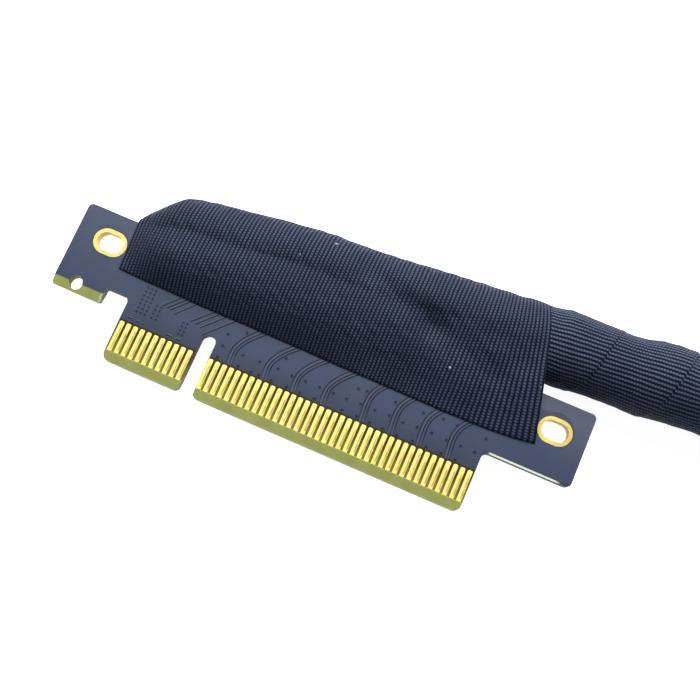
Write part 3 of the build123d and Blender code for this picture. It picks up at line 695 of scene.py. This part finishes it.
def cloth_material(name, rib, depth, foot, colours, lift):
    """Black cloth tape with ribs along v of its UV map: depth and foot shape them, lift makes it lighter.
    The threads' crowns take a lighter colour, a painted highlight over the dark cloth between them.
    """
    made, g, shader, where, uv = material(name)
    weave = g.use("Cloth Weave", Vector=uv, Rib=rib * 1000, Bead=0.4, Depth=depth, Foot=foot)
    speck = g.use("Speckle", Vector=where, Size=2.0)
    # Painted highlight: the threads' crowns take the lighter thread colour over the dark cloth between them
    thread_highlight = g.mix(speck["Shade"], shade(colours.thread_highlight, 0.75 * lift), shade(colours.thread_highlight, 1.1 * lift))
    base = g.mix(weave["Crown"], shade(colours.cloth, 1.0), thread_highlight)
    base = g.mix(weave["Fleck"], base, FLECK)
    wire_up(g, shader, weave["Height"], 0.00016, 0.5, Base_Color=base,
            Roughness=g.math("SUBTRACT", 0.72, g.math("MULTIPLY", weave["Crown"], 0.2)),
            Specular_IOR_Level=0.08, Specular_Tint=(0.7, 0.8, 1.0, 1.0),
            Sheen_Weight=0.07, Sheen_Roughness=0.4, Sheen_Tint=(0.5, 0.65, 1.0, 1.0))
    return made


def mask_material(name, colour, over=None):
    """Satin solder mask, darker near the contacts, and also the look of it over "tracks" or "vias"."""
    made, g, shader, where, uv = material(name)
    speck = g.use("Speckle", Vector=where, Size=1.0)
    _, y, _ = g.axes(where)
    near = g.ramp(g.math("SUBTRACT", y, EDGE_END[1]), 5.9, 9.0, 0.72, 1.05)
    # Lighter fields on the ears: copper under the mask, and painted sheen
    pour_and_sheen = g.use("Copper Pour And Sheen", Vector=where)["Pour"]
    tone = g.math("MULTIPLY", near, g.math("ADD", 0.92, g.math("MULTIPLY", speck["Shade"], 0.16)))
    base = g.node("ShaderNodeVectorMath", {"operation": "SCALE"}, i0=colour, Scale=tone).outputs[0]
    dark = 0.0
    if over == "tracks":
        lines = g.use("Track Lines", Vector=uv)
        base = g.mix(g.math("MULTIPLY", lines["Lane"], 0.6), base, TRACK_LANE)
        dark = lines["Line"]
    if over == "vias":
        _, v, _ = g.axes(uv)
        ring = g.times(g.ramp(v, 0.6, 0.75), g.ramp(v, 0.98, 0.85), 0.35)
        dark = g.math("MAXIMUM", g.ramp(v, 0.62, 0.45, 0.0, 0.85), ring)
    base = g.mix(dark, base, TRACK_LINE)
    # Copper and painted sheen on the ears, mixed over the mask's colour
    base = g.mix(g.math("MULTIPLY", pour_and_sheen, 0.8), base, COPPER_POUR_AND_SHEEN)
    wire_up(g, shader, speck["Height"], 0.00001, 0.35, Base_Color=base,
            Roughness=g.math("ADD", 0.34, g.math("MULTIPLY", speck["Shade"], 0.1)),
            Coat_Weight=g.math("MULTIPLY", g.math("SUBTRACT", 1.0, dark), 0.55), Coat_Roughness=0.36,
            Specular_IOR_Level=0.1)
    return made


def fibre_material(name, colour):
    """Bare glass-fibre laminate."""
    made, g, shader, where, _ = material(name)
    laminate = g.use("Laminate", Vector=where)
    base = g.mix(g.ramp(laminate["Weave"], 0.2, 0.85), shade(colour, 0.9), shade(colour, 1.08))
    for mark, mark_colour in (("Stain", CONTACT_GAP_DARK), ("Wall", CUT_WALL), ("Rim", BARE_RIM),
                              ("Masked", MASKED_CORNER)):
        base = g.mix(laminate[mark], base, mark_colour)
    wire_up(g, shader, laminate["Height"], 0.00003, 0.4, Base_Color=base,
            Roughness=g.math("SUBTRACT", 0.6, g.math("MULTIPLY", laminate["Weave"], 0.2)),
            Specular_IOR_Level=0.2, Subsurface_Weight=0.12, Subsurface_Scale=0.001)
    return made


def gold_material(name, colour, worn_and_shaded):
    """Plated gold, with worn contacts and painted shade along their edges where asked."""
    made, g, shader, where, _ = material(name)
    wear_and_shade = g.use("Contact Wear And Edge Shade", Vector=where)
    base = g.mix(wear_and_shade["Tone"], shade(colour, 0.86), shade(colour, 1.08))
    rough = g.math("ADD", 0.3, g.math("MULTIPLY", wear_and_shade["Tone"], 0.12))
    if worn_and_shaded:
        base = g.mix(g.math("MULTIPLY", wear_and_shade["Streak"], 0.85), base, WEAR_STREAK)
        # Painted shade along both edges of each contact
        base = g.mix(g.math("MULTIPLY", wear_and_shade["Edge"], 0.9), base, CONTACT_EDGE_SHADE)
        rough = g.math("ADD", rough, g.math("MULTIPLY", wear_and_shade["Streak"], 0.15))
    wire_up(g, shader, wear_and_shade["Height"], 0.00002, 0.4, Base_Color=base, Roughness=rough, Metallic=0.8)
    return made


def plain_material(name, colour, roughness, size, distance):
    """Moulded or drawn plastic with grain and cloudy tone."""
    made, g, shader, where, _ = material(name)
    speck = g.use("Speckle", Vector=where, Size=size)
    base = g.mix(speck["Shade"], shade(colour, 0.78), shade(colour, 1.18))
    wire_up(g, shader, speck["Height"], distance, 0.5, Base_Color=base,
            Roughness=g.math("ADD", roughness, g.math("MULTIPLY", speck["Shade"], 0.12)))
    return made


def dress(pattern, made):
    """Put a material on every CAD node whose name holds a word."""
    for name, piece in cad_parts.items():
        if pattern in name:
            piece.data.materials.clear()
            piece.data.materials.append(made)


def cover(piece, made):
    """Finish a new piece: its material and the body that it rides on."""
    piece.data.materials.append(made)
    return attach(piece, "root")


# Operators

class CABLE_OT_effects(bpy.types.Operator):
    """Add the node groups that the materials share"""

    bl_idname = "pcie_cable.effects"
    bl_label = "Add Effects"

    def execute(self, context):
        for build in (cloth_group, speckle_group, laminate_group, pour_and_sheen_group, wear_and_shade_group, print_group):
            build()
        return {"FINISHED"}


class CABLE_OT_boards(bpy.types.Operator):
    """Give the boards, their mask and all gold their materials"""

    bl_idname = "pcie_cable.boards"
    bl_label = "Dress Boards"

    def execute(self, context):
        colours = context.scene.cable_colours
        fibre = fibre_material("Glass Fibre", colours.fibre)
        mask = mask_material("Solder Mask", colours.mask)
        gold = gold_material("Plated Gold", shade(colours.gold, 0.66), False)
        worn_and_shaded = gold_material("Worn Contacts With Edge Shade", colours.gold, True)
        dress("_board", fibre)
        dress("_mask", mask)
        dress("_plating", gold)
        dress("_pads", gold)
        dress("socket_contacts", gold)
        dress("edge_contacts", worn_and_shaded)
        return {"FINISHED"}


class CABLE_OT_wires(bpy.types.Operator):
    """Give the wires, the glue and the slot connector their materials"""

    bl_idname = "pcie_cable.wires"
    bl_label = "Dress Wires and Slot"

    def execute(self, context):
        for pattern, *look in PLAIN_LOOKS:
            dress(pattern, plain_material(*look))
        plastic = context.scene.cable_colours.plastic
        dress("_housing", plain_material("Slot Plastic", plastic, 0.45, 0.7, 0.00003))
        return {"FINISHED"}


class CABLE_OT_tracks(bpy.types.Operator):
    """Add the tracks and vias on both faces of the card edge, and short tracks at the slot"""

    bl_idname = "pcie_cable.tracks"
    bl_label = "Add Tracks and Vias"

    def execute(self, context):
        colour = context.scene.cable_colours.mask
        lines = mask_material("Tracks Under Mask", colour, "tracks")
        dots = mask_material("Vias Under Mask", colour, "vias")
        for face, sign, feet in (("front", 1, FRONT_PAIRS), ("rear", -1, REAR_PAIRS)):
            z = sign * FACE
            strips = []
            for x in feet:
                run = LATE_RUN if x > LATE_FROM else EARLY_RUN
                strips.append(strip_surface("track", [(x + dx, y) for dx, y in run], PAIR_HALF, z, EDGE_END))
            strips += [strip_surface("track", run, SINGLE_HALF, z, EDGE_END) for run in SINGLE_RUNS]
            cover(joined("edge_tracks_" + face, strips), lines)
            dots_on = [via_surface("via", x, y, VIA_RADIUS, z, EDGE_END) for x, y in VIAS]
            dots_on += [via_surface("via", x, y, SMALL_VIA_RADIUS, z, EDGE_END) for x, y in SMALL_VIAS]
            cover(joined("edge_vias_" + face, dots_on), dots)
            short = [strip_surface("track", [(x + 0.5, 9.7), (x + 0.5, 13.0)], PAIR_HALF, z, SOCKET_END)
                     for x in feet]
            cover(joined("socket_tracks_" + face, short), lines)
        return {"FINISHED"}


class CABLE_OT_wraps(bpy.types.Operator):
    """Add the cloth tape round the wires of both ends"""

    bl_idname = "pcie_cable.wraps"
    bl_label = "Add Tape Wraps"

    def execute(self, context):
        sizes, colours = context.scene.cable_sizes, context.scene.cable_colours
        cloth = cloth_material("Wrap Cloth", sizes.wrap_rib, 0.5, 0.4, colours, 0.72)
        for end, node in ((EDGE_END, "edge_tape_wrap"), (SOCKET_END, "socket_tape_wrap")):
            piece = wrap_surface(node.replace("_wrap", "_cloth"), end)
            cover(piece, cloth)
            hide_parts(node)
        return {"FINISHED"}


class CABLE_OT_cord(bpy.types.Operator):
    bl_idname = "pcie_cable.cord"
    bl_label = "Add Cable"

    def execute(self, context):
        sizes, colours = context.scene.cable_sizes, context.scene.cable_colours
        path = route_points()
        piece = cable_surface("cable_tape", path, sizes)
        cover(piece, cloth_material("Cable Cloth", sizes.cable_rib, 0.2, 0.68, colours, 1.08))
        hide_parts("cable")
        on_it = [name for name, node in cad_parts.items()
                 if name.startswith("socket_") and not node.hide_render]
        on_it += ["socket_tape_cloth", "socket_tracks_front", "socket_tracks_rear"]
        return {"FINISHED"}


class CABLE_OT_stage(bpy.types.Operator):
    """Add the floor, the lights, the world and the camera"""

    bl_idname = "pcie_cable.stage"
    bl_label = "Add Stage"

    def execute(self, context):
        scene, stage = context.scene, context.scene.cable_stage
        scene.view_settings.view_transform = "Standard"
        mesh = bpy.data.meshes.new("floor")
        far = FLOOR_REACH
        mesh.from_pydata([(-far, -far, 0), (far, -far, 0), (far, far, 0), (-far, far, 0)], [], [(0, 1, 2, 3)])
        floor = added("floor", mesh)
        made = bpy.data.materials.new("Floor")
        made.use_nodes = True
        g = Graph(made.node_tree)
        g.fill(made.node_tree.nodes["Principled BSDF"], Base_Color=(*stage.floor, 1), Roughness=0.9,
               Specular_IOR_Level=0.1, Emission_Color=(1, 1, 1, 1),
               Emission_Strength=g.math("MULTIPLY", g.glow(stage.reflected), FLOOR_GLOW))
        mesh.materials.append(made)

        scene.world = bpy.data.worlds.new("World")
        scene.world.use_nodes = True
        g = Graph(scene.world.node_tree)
        g.fill(scene.world.node_tree.nodes["Background"], Color=(1, 1, 1, 1),
               Strength=g.math("MAXIMUM", g.glow(stage.reflected), stage.ambient))

        for (name, spot, size), power in zip(LIGHTS, (stage.key, stage.fill)):
            data = bpy.data.lights.new(name, "AREA")
            data.size = size
            data.energy = power
            lamp = added(name, data)
            lamp.location = spot
            lamp.rotation_euler = (-lamp.location).to_track_quat("-Z", "Y").to_euler()

        data = bpy.data.cameras.new("camera")
        data.lens = CAMERA_LENS
        data.sensor_width = 36
        data.clip_start = 0.01
        scene.camera = added("camera", data)
        scene.camera.location = CAMERA_PLACE
        scene.camera.rotation_euler = Euler([radians(a) for a in CAMERA_TURN], "XYZ")
        return {"FINISHED"}


class CABLE_PT_panel(bpy.types.Panel):
    """The cable's sizes, colours and steps"""

    bl_label = "Extension Cable"
    bl_space_type = "VIEW_3D"
    bl_region_type = "UI"
    bl_category = "Cable"

    def draw(self, context):
        scene = context.scene
        for settings in (scene.cable_sizes, scene.cable_colours, scene.cable_stage):
            for name in type(settings).__annotations__:
                self.layout.prop(settings, name)
        for step in STEPS:
            self.layout.operator(step.bl_idname)


STEPS = [CABLE_OT_effects, CABLE_OT_boards, CABLE_OT_wires, CABLE_OT_tracks, CABLE_OT_wraps, CABLE_OT_cord,
         CABLE_OT_stage]
SETTINGS = {"cable_sizes": CableSizes, "cable_colours": CableColours, "cable_stage": CableStage}


def register():
    for kind in (*SETTINGS.values(), *STEPS, CABLE_PT_panel):
        bpy.utils.register_class(kind)
    for name, kind in SETTINGS.items():
        setattr(bpy.types.Scene, name, PointerProperty(type=kind))


def unregister():
    for name in SETTINGS:
        delattr(bpy.types.Scene, name)
    for kind in (CABLE_PT_panel, *reversed(STEPS), *SETTINGS.values()):
        bpy.utils.unregister_class(kind)


def main():
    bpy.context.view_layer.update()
    register()
    bpy.ops.pcie_cable.effects()
    bpy.ops.pcie_cable.boards()
    bpy.ops.pcie_cable.wires()
    bpy.ops.pcie_cable.tracks()
    bpy.ops.pcie_cable.wraps()
    bpy.ops.pcie_cable.cord()
    bpy.ops.pcie_cable.stage()


if __name__ == "__main__":
    main()
